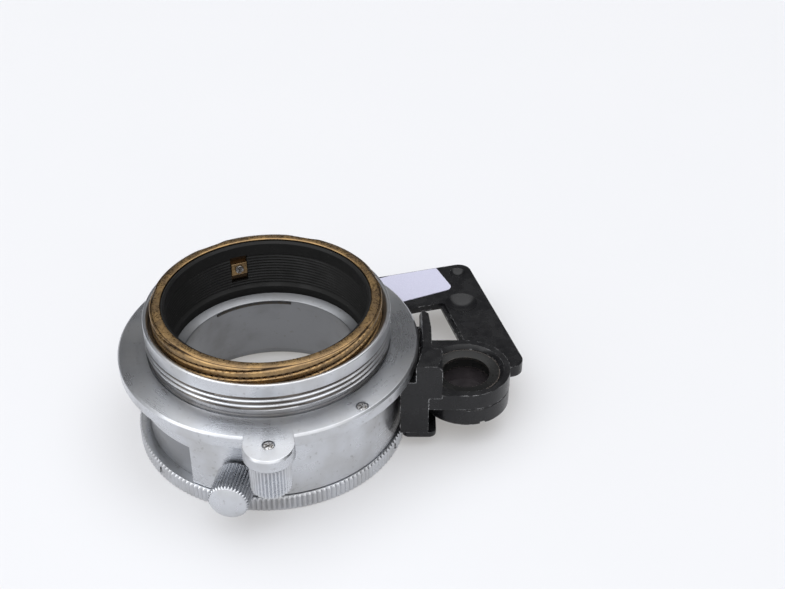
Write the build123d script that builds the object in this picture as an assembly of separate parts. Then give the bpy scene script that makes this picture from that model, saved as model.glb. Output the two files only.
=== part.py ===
"""Close-focusing screw-mount adapter with a rangefinder wedge and a finder mask.

Millimetres.  The origin is on the lens axis at the camera-side face of the flange.
+Z points along the lens axis towards the camera, +X points at the side bracket that
carries the optical unit.  The part rests on its knurled front ring, camera side up.
"""
import os

from build123d import *

# ---- driving dimensions -------------------------------------------------------------
THREAD_R = 19.5           # 39 mm camera screw thread, major radius
COLLAR_TOP = 6.2          # height of the threaded collar above the flange face
FLANGE_R = 24.0
FLANGE_T = 2.1

BARREL_R = 18.2           # brass cam barrel, crest of its multi-start thread
BARREL_BORE_R = 16.5
BARREL_TOP = 8.26
BARREL_BOTTOM = -6.0
RUNNING_GAP = 0.05        # radial clearance of every running fit

SKIRT_R = 19.2            # fixed inner skirt, which also carries the flange
SKIRT_BOTTOM = -12.4

SLEEVE_R = 21.5           # turning focus sleeve
SLEEVE_BORE_R = 20.25
SLEEVE_TOP = -2.25
SLEEVE_BOTTOM = -13.95
LIP_BOTTOM = -3.4         # inner lip that carries the sleeve on the skirt
SLEEVE_WINDOW = (165.0, 239.0)   # azimuths of the window in the sleeve
WINDOW_TOP = -6.8
SNAP_TOP = LIP_BOTTOM - 0.2      # split ring in a groove of the skirt, under the lip
SNAP_T = 0.6
SNAP_GROOVE_R = 18.8
STOP_AZ = 100.0                  # pin that ends the sleeve's turn
STOP_R = 20.5
STOP_PIN_R = 0.4
STOP_PIN_LOW, STOP_PIN_HIGH = -3.0, -1.0

BASE_Z = -16.85           # front face of the knurled ring, what the part stands on
RING_R = 22.07
RING_TOP = -14.07
CUP_R = 20.2              # outer wall of the sliding lens seat
SEAT_BOTTOM = -16.6
CUP_TOP = -4.4
CUP_BORE_R = 19.3
FLOOR_TOP = -13.1
TUBE_OUTER_R = 17.9

LENS_BORE_R = 17.5        # front recess that takes the lens
SEAT_STEP_R = 15.5        # bright conical step below the baffle tube
SEAT_NECK_R = 14.0
SEAT_STEP_TOP = -2.1
SEAT_NECK_Z = -2.7
SEAT_MOUTH_R = 16.0
SEAT_MOUTH_Z = -14.45
SPRING_AZ = (79.5, 133.5)  # leaf spring in the neck
SPRING_LOW = -3.3
SPRING_HIGH = -2.95
SPRING_OUT_R = 14.45
SET_SCREW_AZ = (99.0, 219.8, 337.2)
SET_SCREW_Z = (BASE_Z + RING_TOP) / 2
BAFFLE_TOP = 7.95
BAFFLE_BORE_R = 15.9

TURN_DEG = 125.0          # turn of the sleeve from far to near
CARRIER_LEAD = 12.5       # travel of the lens seat per turn
CARRIER_TRAVEL = CARRIER_LEAD * TURN_DEG / 360

KNOB_AZ = 260.5
KNOB_Z = -9.8
KNOB_R = 3.12
KNOB_END_R = 28.45        # how far the knob's domed end is from the lens axis
KNOB_DOME_H = 0.75
STUD_R = 1.0
STUD_TIP_R = 0.75
LUG_AZ = 274.2
LUG_CENTRE_R = 25.25
LUG_END_R = 3.9
LUG_WIDTH = 8.0
GRIP_R = 3.15
GRIP_POS_R = 25.44
GRIP_BOTTOM = -8.1
FLANGE_SCREW_AZ = 312.5
FLANGE_SCREW_POS_R = 22.6
SCREW_HEAD_R = 0.85
SCREW_SHANK_R = 0.5
SCREW_HEAD_TOP = -0.08
SCREW_HEAD_H = 0.6

KEY_AZ = 112.0            # drive key inside the baffle tube
KEY_LOW = 2.3
KEY_HIGH = 4.5
KEY_WIDTH = 2.7
KEY_FACE_R = 15.75
SLOT_LOW = 0.8
SLOT_HIGH = 5.8
SLOT_WIDTH = 2.9
KEY_MID = (KEY_LOW + KEY_HIGH) / 2
KEY_SCREW_R = 0.45
KEY_HEAD_R = 0.75

BRACKET_HALF_Y = 7.35     # half the depth of the bracket block
BRACKET_FRONT_Y = -7.4
STEM_INNER_R = 22.3
STEM_RIGHT_X = 25.6
STEM_TOP = -3.2
STEM_BOTTOM = -13.6
FOOT_BOTTOM = -14.6
FOOT_LEFT_X, FOOT_RIGHT_X = 21.0, 26.9
FOOT_SCREW_X = 24.3
FOOT_SCREW_Y = (-2.4, 2.4)
BRACKET_SCREW_R = 23.15
BRACKET_SCREW_AZ = (-11.0, 11.0)
POST_RIGHT_X = 27.7
POST_BACK_Y = -2.7
POST_INNER_R = 24.65
POST_CORNER = ((26.85, -7.4, 0), (27.7, -7.4, -0.75), (27.7, -4.6, 0))   # facet on its top corner
ARM_LEFT_X = 24.25        # straight arm beside the flange
ARM_RIGHT_X = 26.1
ARM_TIP_X = 25.75
ARM_CHAMFER = (0.4, 0.9)  # width and height of the chamfer along its inner top edge
CELL_X = 31.8             # axis of the rangefinder cell, parallel to the lens axis
CELL_R = 7.25
CELL_TOP = -6.0
CELL_BOTTOM = -8.9
CELL_MOUTH_R = 6.2        # conical mouth above the tube
CELL_LIP_H = 0.65
TUBE_R = 6.5              # threaded tube that ties the mask plate's hub to the housing
TUBE_BORE_R = 5.6
PRISM_LOW = -11.3
PRISM_RIM = -9.3
PRISM_RING_TOP = -6.7
PRISM_RING_BORE_R = 3.85
PRISM_RING_WIDE_R = 4.25  # the ring's bore below its inner lip

PLATE_TURN = 16.0         # the mask plate stands square to the camera, not to the bracket
PLATE_TOP = -8.95
PLATE_T = 2.1
HUB_BOTTOM = -12.1
PLATE_LEFT, PLATE_RIGHT = 22.9, 41.8
PLATE_NEAR, PLATE_FAR = -7.4, 24.0
PLATE_CORNER_R = 2.2
PLATE_SKIN_T = 1.0        # thickness round the window, above a pocket
WINDOW_LEFT, WINDOW_RIGHT = 24.8, 33.2
WINDOW_NEAR, WINDOW_FAR = 1.6, 13.15
WINDOW_LEDGE = 0.7        # step along the window's right edge
WINDOW_LEDGE_H = 0.45
POCKET_MARGIN = 1.1
DISHES = ((36.95, 12.3, 2.85, 0.95), (39.2, 21.4, 1.5, 0.6))   # x, y, radius, depth
LABEL_POS = (29.75, 20.0)  # blank paper label on the mask plate
LABEL_TURN = 8.0
LABEL_SIZE = (13.2, 8.4)
LABEL_CORNER_R = 1.2

BOTTOM = (Align.CENTER, Align.CENTER, Align.MIN)


# ---- small helpers --------------------------------------------------------------------
def turned(points):
    """Solid of revolution about Z from a closed list of (radius, height) points."""
    outline = make_face(Polyline(*[(r, 0, z) for r, z in points], close=True))
    return revolve(outline, Axis.Z)


def ring(r_in, r_out, z_low, z_high):
    return turned([(r_in, z_low), (r_out, z_low), (r_out, z_high), (r_in, z_high)])


def disc(radius, z_low, z_high, x=0.0, y=0.0):
    return Pos(x, y, z_low) * Cylinder(radius, z_high - z_low, align=BOTTOM)


def box(x, y, z):
    """Box from three (low, high) pairs."""
    size = [high - low for low, high in (x, y, z)]
    return Pos(x[0], y[0], z[0]) * Box(*size, align=(Align.MIN, Align.MIN, Align.MIN))


def rounded_plate(x, y, corner_r, z):
    """Flat plate with rounded corners from three (low, high) pairs."""
    outline = RectangleRounded(x[1] - x[0], y[1] - y[0], corner_r)
    return Pos(sum(x) / 2, sum(y) / 2, z[0]) * extrude(outline, z[1] - z[0])


def arc_ring(r_in, r_out, z_low, z_high, start, end):
    """Part of a ring, from azimuth start to azimuth end in degrees."""
    corners = [(r_in, 0, z_low), (r_out, 0, z_low), (r_out, 0, z_high), (r_in, 0, z_high)]
    outline = make_face(Polyline(*corners, close=True))
    return Rot(0, 0, start) * revolve(outline, Axis.Z, revolution_arc=end - start)


def at(azimuth, radius, z=0.0):
    """Place on the cylinder of that radius, with local X pointing outwards."""
    return Rot(0, 0, azimuth) * Pos(radius, 0, z)


def radial_pin(azimuth, z, radius, r_from, r_to):
    """Cylinder whose axis points away from the lens axis."""
    return at(azimuth, r_from, z) * Rot(0, 90, 0) * Cylinder(radius, r_to - r_from, align=BOTTOM)


def slotted_screw(head_r, head_h, shank_r, shank_h):
    """Cheese-head screw along -Z with its head's top at Z = 0."""
    screw = disc(head_r, -head_h, 0) + disc(shank_r, -head_h - shank_h, -head_h)
    slot = box((-head_r, head_r), (-0.13, 0.13), (-0.25, 0.1))
    return screw - slot


# ---- fixed mount ------------------------------------------------------------------------
def make_helicoid_body():
    """Threaded collar and inner skirt in one turned piece; the thread is its major cylinder."""
    bore = BARREL_R + RUNNING_GAP
    body = turned([
        (bore, SKIRT_BOTTOM), (SKIRT_R, SKIRT_BOTTOM), (SKIRT_R, 0), (THREAD_R, 0),
        (THREAD_R, COLLAR_TOP - 0.3), (THREAD_R - 0.3, COLLAR_TOP), (THREAD_R - 0.65, COLLAR_TOP),
        (bore, COLLAR_TOP - 0.85),
    ])
    groove = ring(SNAP_GROOVE_R, SKIRT_R + 1, SNAP_TOP - SNAP_T - 0.05, SNAP_TOP + 0.05)
    return body - groove


def make_snap_ring():
    """Split ring in the skirt's groove that keeps the focus sleeve under the flange."""
    return arc_ring(SNAP_GROOVE_R + 0.02, SLEEVE_BORE_R - 0.15, SNAP_TOP - SNAP_T, SNAP_TOP, 160, 500)


def make_flange():
    """Flange with the lug that carries the fixed grip."""
    chamfer_w = 0.35
    flange = turned([
        (SKIRT_R, -FLANGE_T), (FLANGE_R, -FLANGE_T), (FLANGE_R, -chamfer_w),
        (FLANGE_R - chamfer_w, 0), (THREAD_R + 0.05, 0), (SKIRT_R, -0.4),
    ])
    lug = box((FLANGE_R - 2.5, LUG_CENTRE_R), (-LUG_WIDTH / 2, LUG_WIDTH / 2), (-FLANGE_T, 0))
    lug += disc(LUG_END_R, -FLANGE_T, 0, x=LUG_CENTRE_R)
    flange += Rot(0, 0, LUG_AZ) * lug
    head_seat = SCREW_HEAD_TOP - SCREW_HEAD_H
    screw_places = ((LUG_AZ, GRIP_POS_R, FLANGE_T + 1), (FLANGE_SCREW_AZ, FLANGE_SCREW_POS_R, 1.85))
    for azimuth, radius, depth in screw_places:
        flange -= at(azimuth, radius) * disc(SCREW_HEAD_R + 0.08, head_seat, 1)
        flange -= at(azimuth, radius) * disc(SCREW_SHANK_R + 0.02, -depth, 1)
    for azimuth in BRACKET_SCREW_AZ:
        flange -= at(azimuth, BRACKET_SCREW_R) * disc(SCREW_SHANK_R, -FLANGE_T - 1, -0.8)
    return flange - at(STOP_AZ, STOP_R) * disc(STOP_PIN_R, -FLANGE_T - 1, STOP_PIN_HIGH)


def make_stop_pin():
    """Pin under the flange that ends the sleeve's turn in its arc slot."""
    return at(STOP_AZ, STOP_R) * disc(STOP_PIN_R, STOP_PIN_LOW, STOP_PIN_HIGH)


def make_fixed_grip():
    """Upright grip pin under the lug, the finger rest opposite the focus knob."""
    grip = turned([
        (0, GRIP_BOTTOM), (GRIP_R - 0.3, GRIP_BOTTOM), (GRIP_R, GRIP_BOTTOM + 0.3),
        (GRIP_R, -FLANGE_T - 0.25), (GRIP_R - 0.25, -FLANGE_T), (0, -FLANGE_T),
    ])
    grip -= disc(SCREW_SHANK_R, -FLANGE_T - 2.4, 0)
    return at(LUG_AZ, GRIP_POS_R) * grip


def make_grip_screw():
    turn = Rot(0, 0, 35)
    return (at(LUG_AZ, GRIP_POS_R, SCREW_HEAD_TOP) * turn
            * slotted_screw(SCREW_HEAD_R, SCREW_HEAD_H, SCREW_SHANK_R, 3.6))


def make_flange_screw():
    turn = Rot(0, 0, 60)
    return (at(FLANGE_SCREW_AZ, FLANGE_SCREW_POS_R, SCREW_HEAD_TOP) * turn
            * slotted_screw(SCREW_HEAD_R, SCREW_HEAD_H, SCREW_SHANK_R, 1.1))


# ---- side bracket and optical unit ---------------------------------------------------------
def corner_facet(a, b, c, corner):
    """Tetrahedron that takes a flat facet off a corner."""
    sides = ((a, b, c), (a, b, corner), (b, c, corner), (c, a, corner))
    return Solid(Shell([make_face(Polyline(*side, close=True)) for side in sides]))


def make_arm():
    """Straight arm behind the post, with a rounded tip and a chamfer towards the flange."""
    bend_y = 3.0
    outline = Polyline(
        (ARM_LEFT_X, POST_BACK_Y), (ARM_RIGHT_X, POST_BACK_Y), (ARM_RIGHT_X, bend_y),
        (ARM_TIP_X, BRACKET_HALF_Y - 0.7), (ARM_TIP_X - 0.6, BRACKET_HALF_Y),
        (ARM_LEFT_X, BRACKET_HALF_Y), close=True)
    arm = Pos(0, 0, CELL_BOTTOM) * extrude(make_face(outline), -CELL_BOTTOM)
    width, height = ARM_CHAMFER
    chamfer = Polyline((ARM_LEFT_X - 1, 1), (ARM_LEFT_X + width, 1), (ARM_LEFT_X + width, 0),
                       (ARM_LEFT_X, -height), (ARM_LEFT_X - 1, -height), close=True)
    chamfer = Rot(90, 0, 0) * extrude(make_face(chamfer), 20, both=True)
    return arm - chamfer


def make_bracket():
    """Stem under the flange, post and straight arm beside it, and the upper cell housing."""
    inner = disc(STEM_INNER_R, STEM_BOTTOM - 1, 1)
    side = (BRACKET_FRONT_Y, BRACKET_HALF_Y)
    stem = box((19.0, STEM_RIGHT_X), side, (STEM_BOTTOM, STEM_TOP)) - inner
    pad = box((19.0, STEM_RIGHT_X), (-6.0, 6.0), (STEM_TOP, -FLANGE_T))
    pad &= disc(FLANGE_R - 0.1, STEM_TOP, -FLANGE_T)
    pad -= inner
    post = box((22.0, POST_RIGHT_X), (BRACKET_FRONT_Y, POST_BACK_Y), (CELL_TOP, 0))
    post -= disc(POST_INNER_R, STEM_TOP, 1)
    post -= corner_facet(*POST_CORNER, (POST_RIGHT_X, BRACKET_FRONT_Y, 0))
    housing = box((STEM_INNER_R + 0.4, CELL_X), (-CELL_R, CELL_R), (CELL_BOTTOM, CELL_TOP))
    housing += disc(CELL_R, CELL_BOTTOM, CELL_TOP, x=CELL_X)
    bracket = stem + pad + (post - inner) + make_arm() + (housing - inner)
    lip_low = CELL_TOP - CELL_LIP_H
    bracket -= Pos(CELL_X, 0, 0) * turned([
        (0, lip_low), (TUBE_BORE_R, lip_low), (CELL_MOUTH_R, CELL_TOP), (CELL_MOUTH_R, CELL_TOP + 0.1),
        (0, CELL_TOP + 0.1)])
    bracket -= disc(TUBE_R, HUB_BOTTOM - 1, lip_low, x=CELL_X)
    for azimuth in BRACKET_SCREW_AZ:
        place = at(azimuth, BRACKET_SCREW_R)
        bracket -= place * disc(SCREW_SHANK_R + 0.05, STEM_BOTTOM - 1, 0)
        bracket -= place * disc(SCREW_HEAD_R + 0.05, STEM_BOTTOM - 1, STEM_BOTTOM + 0.8)
    for y in FOOT_SCREW_Y:
        bracket -= disc(SCREW_SHANK_R, STEM_BOTTOM - 1, STEM_BOTTOM + 2.2, x=FOOT_SCREW_X, y=y)
    return bracket


def make_bracket_foot():
    """Cover plate under the stem, wider than the stem on the right."""
    foot = rounded_plate((FOOT_LEFT_X, FOOT_RIGHT_X), (BRACKET_FRONT_Y, BRACKET_HALF_Y), 1.2,
                         (FOOT_BOTTOM, STEM_BOTTOM))
    foot -= disc(STEM_INNER_R + 0.2, FOOT_BOTTOM - 1, STEM_BOTTOM + 1)
    for y in FOOT_SCREW_Y:
        foot -= disc(SCREW_SHANK_R + 0.05, FOOT_BOTTOM - 1, STEM_BOTTOM + 1, x=FOOT_SCREW_X, y=y)
        foot -= disc(SCREW_HEAD_R + 0.05, FOOT_BOTTOM - 1, FOOT_BOTTOM + 0.55, x=FOOT_SCREW_X, y=y)
    return foot


def make_foot_screws():
    screw = Rot(180, 0, 0) * slotted_screw(SCREW_HEAD_R, 0.5, SCREW_SHANK_R, 2.4)
    return [Pos(FOOT_SCREW_X, y, FOOT_BOTTOM + 0.03) * screw for y in FOOT_SCREW_Y]


def make_bracket_screws():
    """Two long screws up through the stem into the flange."""
    shank = -1.0 - (STEM_BOTTOM + 0.8)
    screw = Rot(180, 0, 0) * slotted_screw(SCREW_HEAD_R, 0.7, SCREW_SHANK_R, shank)
    return [at(azimuth, BRACKET_SCREW_R, STEM_BOTTOM + 0.1) * screw for azimuth in BRACKET_SCREW_AZ]


def make_cell_tube():
    """Black threaded tube through housing and hub, with an inner shoulder for the prism."""
    shoulder_r = TUBE_BORE_R - 0.5
    top = CELL_TOP - CELL_LIP_H - 0.03
    return Pos(CELL_X, 0, 0) * turned([
        (shoulder_r, HUB_BOTTOM + 0.1), (TUBE_R, HUB_BOTTOM + 0.1), (TUBE_R, top), (TUBE_BORE_R, top),
        (TUBE_BORE_R, PRISM_LOW), (shoulder_r, PRISM_LOW),
    ])


def make_wedge_prism():
    """Round glass wedge that bends the rangefinder's view inwards."""
    radius = TUBE_BORE_R - 0.03
    glass = disc(radius, PRISM_LOW, PRISM_RIM)
    slope = Pos(0, 0, PRISM_RIM) * Rot(0, 4, 0) * box((-10, 10), (-10, 10), (-0.4, 5))
    return Pos(CELL_X, 0, 0) * (glass - slope)


def make_prism_ring():
    """Tall threaded ring that holds the prism down, its top sloping to a narrow bore."""
    outer = TUBE_BORE_R - 0.03
    low = PRISM_RIM + 0.02
    lip_h = 0.4
    inner_top = PRISM_RING_TOP - 0.25
    return Pos(CELL_X, 0, 0) * turned([
        (PRISM_RING_WIDE_R, low), (outer, low), (outer, PRISM_RING_TOP), (PRISM_RING_BORE_R, inner_top),
        (PRISM_RING_BORE_R, inner_top - lip_h), (PRISM_RING_WIDE_R, inner_top - lip_h),
    ])


def make_mask_plate():
    """Finder mask: flat plate with a window, on a hub under the rangefinder cell."""
    low = PLATE_TOP - PLATE_T
    above = PLATE_TOP + 1
    plate = rounded_plate((PLATE_LEFT, PLATE_RIGHT), (PLATE_NEAR, PLATE_FAR), PLATE_CORNER_R,
                          (low, PLATE_TOP))
    window_y = (WINDOW_NEAR, WINDOW_FAR)
    plate -= rounded_plate((WINDOW_LEFT, WINDOW_RIGHT), window_y, 0.3, (low - 1, above))
    plate -= rounded_plate((WINDOW_LEFT, WINDOW_RIGHT + WINDOW_LEDGE), window_y, 0.3,
                           (PLATE_TOP - WINDOW_LEDGE_H, above))
    plate -= rounded_plate((WINDOW_LEFT - POCKET_MARGIN, WINDOW_RIGHT + POCKET_MARGIN),
                           (WINDOW_NEAR, WINDOW_FAR + POCKET_MARGIN), 0.8,
                           (low - 1, PLATE_TOP - PLATE_SKIN_T))
    for x, y, radius, depth in DISHES:
        sphere_r = (radius ** 2 + depth ** 2) / (2 * depth)
        plate -= Pos(x, y, PLATE_TOP - depth + sphere_r) * Sphere(sphere_r)
    plate = Rot(0, 0, PLATE_TURN) * plate
    hub = disc(CELL_R - 0.05, HUB_BOTTOM, PLATE_TOP, x=CELL_X)
    plate += hub
    plate -= disc(TUBE_R, HUB_BOTTOM - 1, above, x=CELL_X)
    gap = 0.15
    plate -= box((0, STEM_RIGHT_X + gap), (BRACKET_FRONT_Y - 3, BRACKET_HALF_Y + gap),
                 (HUB_BOTTOM - 1, above))
    return plate


def make_label():
    """Blank paper label stuck on the mask plate."""
    paper = Pos(*LABEL_POS) * Rot(0, 0, LABEL_TURN) * RectangleRounded(*LABEL_SIZE, LABEL_CORNER_R)
    paper = Pos(0, 0, PLATE_TOP) * extrude(paper, 0.1)
    paper &= rounded_plate((PLATE_LEFT + 0.2, PLATE_RIGHT - 0.2), (PLATE_NEAR + 0.1, PLATE_FAR - 0.1),
                           PLATE_CORNER_R, (PLATE_TOP, PLATE_TOP + 0.1))
    return Rot(0, 0, PLATE_TURN) * paper


# ---- turning focus sleeve --------------------------------------------------------------------
def make_focus_sleeve():
    """Sleeve with a window on its left side, turning between the flange and the snap ring."""
    lip_r = SKIRT_R + RUNNING_GAP
    sleeve = turned([
        (SLEEVE_BORE_R, SLEEVE_BOTTOM), (SLEEVE_R, SLEEVE_BOTTOM), (SLEEVE_R, SLEEVE_TOP - 0.15),
        (SLEEVE_R - 0.15, SLEEVE_TOP), (lip_r, SLEEVE_TOP), (lip_r, LIP_BOTTOM),
        (SLEEVE_BORE_R, LIP_BOTTOM),
    ])
    sleeve -= arc_ring(SLEEVE_BORE_R - 1, SLEEVE_R + 1, SLEEVE_BOTTOM - 1, WINDOW_TOP, *SLEEVE_WINDOW)
    sleeve -= radial_pin(KNOB_AZ, KNOB_Z, STUD_R, SLEEVE_BORE_R - 1, SLEEVE_R + 1)
    slot_r = STOP_PIN_R + 0.12
    slot_floor = STOP_PIN_LOW - 0.2
    slot = arc_ring(STOP_R - slot_r, STOP_R + slot_r, slot_floor, SLEEVE_TOP + 1,
                    STOP_AZ, STOP_AZ + TURN_DEG)
    for azimuth in (STOP_AZ, STOP_AZ + TURN_DEG):
        slot += at(azimuth, STOP_R) * disc(slot_r, slot_floor, SLEEVE_TOP + 1)
    return sleeve - slot


def make_focus_knob():
    """Round knob that points away from the lens axis, with a shallow domed end."""
    length = KNOB_END_R - SLEEVE_R
    knob = turned([
        (0, 0.05), (1.8, 0.05), (1.8, 0.45), (KNOB_R - 0.25, 0.45), (KNOB_R, 0.7),
        (KNOB_R, length - KNOB_DOME_H - 0.3), (KNOB_R - 0.3, length - KNOB_DOME_H), (0, length - KNOB_DOME_H),
    ])
    dome_foot = KNOB_R - 0.3
    dome_r = (dome_foot ** 2 + KNOB_DOME_H ** 2) / (2 * KNOB_DOME_H)
    dome = (Pos(0, 0, length - dome_r) * Sphere(dome_r)) & disc(dome_foot, length - KNOB_DOME_H - 0.1, length + 1)
    knob = knob + dome - disc(STUD_R, -1, 3.5)
    return at(KNOB_AZ, SLEEVE_R, KNOB_Z) * Rot(0, 90, 0) * knob


def make_knob_stud():
    """Stud that holds the knob and reaches through the sleeve into the lens seat's slot."""
    stud = radial_pin(KNOB_AZ, KNOB_Z, STUD_R, SLEEVE_BORE_R + 0.05, SLEEVE_R + 3.4)
    return stud + radial_pin(KNOB_AZ, KNOB_Z, STUD_TIP_R, SKIRT_R + 0.2, SLEEVE_BORE_R + 0.1)


# ---- sliding lens seat ---------------------------------------------------------------------------
def make_lens_seat():
    """Turned seat: inner tube for the lens, floor, and the outer wall that slides in the sleeve."""
    inner_r = BARREL_BORE_R - RUNNING_GAP
    seat = turned([
        (SEAT_STEP_R, SEAT_STEP_TOP), (SEAT_NECK_R, SEAT_NECK_Z), (SEAT_NECK_R + 0.15, SEAT_NECK_Z - 0.9),
        (SEAT_MOUTH_R, SEAT_MOUTH_Z), (LENS_BORE_R, SEAT_MOUTH_Z), (LENS_BORE_R, SEAT_BOTTOM),
        (CUP_R, SEAT_BOTTOM), (CUP_R, CUP_TOP), (CUP_BORE_R, CUP_TOP), (CUP_BORE_R, FLOOR_TOP),
        (TUBE_OUTER_R, FLOOR_TOP), (TUBE_OUTER_R, BARREL_BOTTOM - 0.7), (inner_r, BARREL_BOTTOM - 0.7),
        (inner_r, SEAT_STEP_TOP),
    ])
    seat -= arc_ring(SEAT_NECK_R - 1, SPRING_OUT_R + 0.03, SPRING_LOW - 0.03, SPRING_HIGH + 0.03,
                     SPRING_AZ[0] - 1, SPRING_AZ[1] + 1)
    slot_low = KNOB_Z - STUD_TIP_R - 0.3
    slot_high = KNOB_Z + CARRIER_TRAVEL + STUD_TIP_R + 0.3
    slot_half = STUD_TIP_R + 0.05
    slot = box((CUP_BORE_R - 0.5, CUP_R + 0.5), (-slot_half, slot_half), (slot_low, slot_high))
    seat -= Rot(0, 0, KNOB_AZ) * slot
    for azimuth in SET_SCREW_AZ:
        seat -= radial_pin(azimuth, SET_SCREW_Z, SCREW_SHANK_R, CUP_R - 1.4, CUP_R + 1)
    return seat


def make_lens_spring():
    """Bowed leaf in the seat's neck that steadies the lens."""
    return arc_ring(SEAT_NECK_R - 0.12, SPRING_OUT_R, SPRING_LOW, SPRING_HIGH, SPRING_AZ[0], SPRING_AZ[1])


def make_baffle_tube():
    """Thin blackened tube inside the cam barrel, with the slot for the drive key."""
    outer = BARREL_BORE_R - RUNNING_GAP
    tube = turned([
        (SEAT_STEP_R, SEAT_STEP_TOP), (outer, SEAT_STEP_TOP), (outer, BAFFLE_TOP), (outer - 0.2, BAFFLE_TOP),
        (BAFFLE_BORE_R, BAFFLE_TOP - 0.3), (BAFFLE_BORE_R, -0.3), (SEAT_STEP_R, -0.5),
    ])
    slot = box((BAFFLE_BORE_R - 2, outer + 1), (-SLOT_WIDTH / 2, SLOT_WIDTH / 2), (SLOT_LOW, SLOT_HIGH))
    return tube - Rot(0, 0, KEY_AZ) * slot


def make_knurled_ring():
    """Front grip ring around the lens seat; its knurl is a plain cylinder here."""
    edge = 0.3
    ring_part = turned([
        (CUP_R, BASE_Z), (RING_R - edge, BASE_Z), (RING_R, BASE_Z + edge), (RING_R, RING_TOP - edge),
        (RING_R - edge, RING_TOP), (CUP_R, RING_TOP),
    ])
    for azimuth in SET_SCREW_AZ:
        ring_part -= radial_pin(azimuth, SET_SCREW_Z, SCREW_SHANK_R, CUP_R - 1, RING_R + 1)
    return ring_part


def make_ring_set_screws():
    screws = []
    for azimuth in SET_SCREW_AZ:
        screw = radial_pin(azimuth, SET_SCREW_Z, SCREW_SHANK_R, CUP_R - 1.2, RING_R - 0.25)
        slot = at(azimuth, RING_R, SET_SCREW_Z) * box((-0.5, 0.5), (-1, 1), (-0.1, 0.1))
        screws.append(screw - slot)
    return screws


# ---- brass cam barrel -------------------------------------------------------------------------------
def make_cam_barrel():
    """Brass barrel whose upper rim moves the camera's rangefinder roller."""
    edge = 0.2
    barrel = turned([
        (BARREL_BORE_R, BARREL_BOTTOM), (BARREL_R - edge, BARREL_BOTTOM),
        (BARREL_R, BARREL_BOTTOM + edge), (BARREL_R, BARREL_TOP - edge), (BARREL_R - edge, BARREL_TOP),
        (BARREL_BORE_R + edge, BARREL_TOP), (BARREL_BORE_R, BARREL_TOP - edge),
    ])
    return barrel - radial_pin(KEY_AZ, KEY_MID, KEY_SCREW_R, BARREL_BORE_R - 1, BARREL_R - 0.5)


def make_drive_key():
    """Brass block on the barrel's bore that slides in the baffle tube's slot."""
    block = box((KEY_FACE_R, BARREL_R), (-KEY_WIDTH / 2, KEY_WIDTH / 2), (KEY_LOW, KEY_HIGH))
    block &= disc(BARREL_BORE_R, KEY_LOW - 1, KEY_HIGH + 1)
    block = Rot(0, 0, KEY_AZ) * block
    return block - radial_pin(KEY_AZ, KEY_MID, KEY_SCREW_R, KEY_FACE_R - 1, BARREL_R)


def make_drive_key_screw():
    shank = radial_pin(KEY_AZ, KEY_MID, KEY_SCREW_R, KEY_FACE_R, BARREL_R - 0.6)
    head = radial_pin(KEY_AZ, KEY_MID, KEY_HEAD_R, KEY_FACE_R - 0.35, KEY_FACE_R)
    slot = at(KEY_AZ, KEY_FACE_R - 0.35, KEY_MID) * Rot(35, 0, 0) * box((-0.2, 0.2), (-1, 1), (-0.1, 0.1))
    return shank + head - slot


PARTS = {
    "helicoid_body": make_helicoid_body,
    "mount_flange": make_flange,
    "sleeve_snap_ring": make_snap_ring,
    "stop_pin": make_stop_pin,
    "fixed_grip": make_fixed_grip,
    "grip_screw": make_grip_screw,
    "flange_screw": make_flange_screw,
    "optics_bracket": make_bracket,
    "bracket_foot": make_bracket_foot,
    "foot_screws": make_foot_screws,
    "bracket_screws": make_bracket_screws,
    "cell_tube": make_cell_tube,
    "wedge_prism": make_wedge_prism,
    "prism_ring": make_prism_ring,
    "mask_plate": make_mask_plate,
    "blank_label": make_label,
    "focus_sleeve": make_focus_sleeve,
    "focus_knob": make_focus_knob,
    "knob_stud": make_knob_stud,
    "lens_seat": make_lens_seat,
    "lens_spring": make_lens_spring,
    "baffle_tube": make_baffle_tube,
    "knurled_ring": make_knurled_ring,
    "ring_set_screws": make_ring_set_screws,
    "cam_barrel": make_cam_barrel,
    "drive_key": make_drive_key,
    "drive_key_screw": make_drive_key_screw,
}

os.makedirs("parts", exist_ok=True)
for name, make in PARTS.items():
    made = make()
    if isinstance(made, list):
        made = Compound(children=made)
    export_step(made, f"parts/{name}.step")
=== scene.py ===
"""Looks of a close-focusing screw-mount adapter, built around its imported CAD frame.

Lengths in this script are millimetres, and become metres where a mesh or a light is made.
Azimuths are degrees about the lens axis, counter-clockwise from +X seen from the camera side.
"""
import math

import bmesh
import bpy
from mathutils import Matrix, Vector


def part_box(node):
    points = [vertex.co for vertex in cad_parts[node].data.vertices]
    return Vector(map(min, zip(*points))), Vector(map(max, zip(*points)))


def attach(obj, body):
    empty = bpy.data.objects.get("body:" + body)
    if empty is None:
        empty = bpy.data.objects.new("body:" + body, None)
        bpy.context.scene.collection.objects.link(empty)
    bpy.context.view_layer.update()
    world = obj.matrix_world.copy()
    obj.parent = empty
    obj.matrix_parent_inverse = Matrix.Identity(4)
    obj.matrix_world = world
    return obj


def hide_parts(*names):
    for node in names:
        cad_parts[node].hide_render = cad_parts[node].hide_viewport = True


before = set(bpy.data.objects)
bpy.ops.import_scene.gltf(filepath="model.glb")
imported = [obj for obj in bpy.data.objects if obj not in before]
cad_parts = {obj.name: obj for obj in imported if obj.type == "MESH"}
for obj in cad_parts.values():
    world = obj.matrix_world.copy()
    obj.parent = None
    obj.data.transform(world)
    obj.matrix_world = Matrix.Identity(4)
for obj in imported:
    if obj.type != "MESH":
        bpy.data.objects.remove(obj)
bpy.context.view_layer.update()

MM = 0.001
TAU = math.tau


# ---- places and sizes, from the frame -----------------------------------------------------------
def span(node):
    """Lowest and highest corner of a CAD node, in millimetres."""
    low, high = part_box(node)
    return low / MM, high / MM


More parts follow.
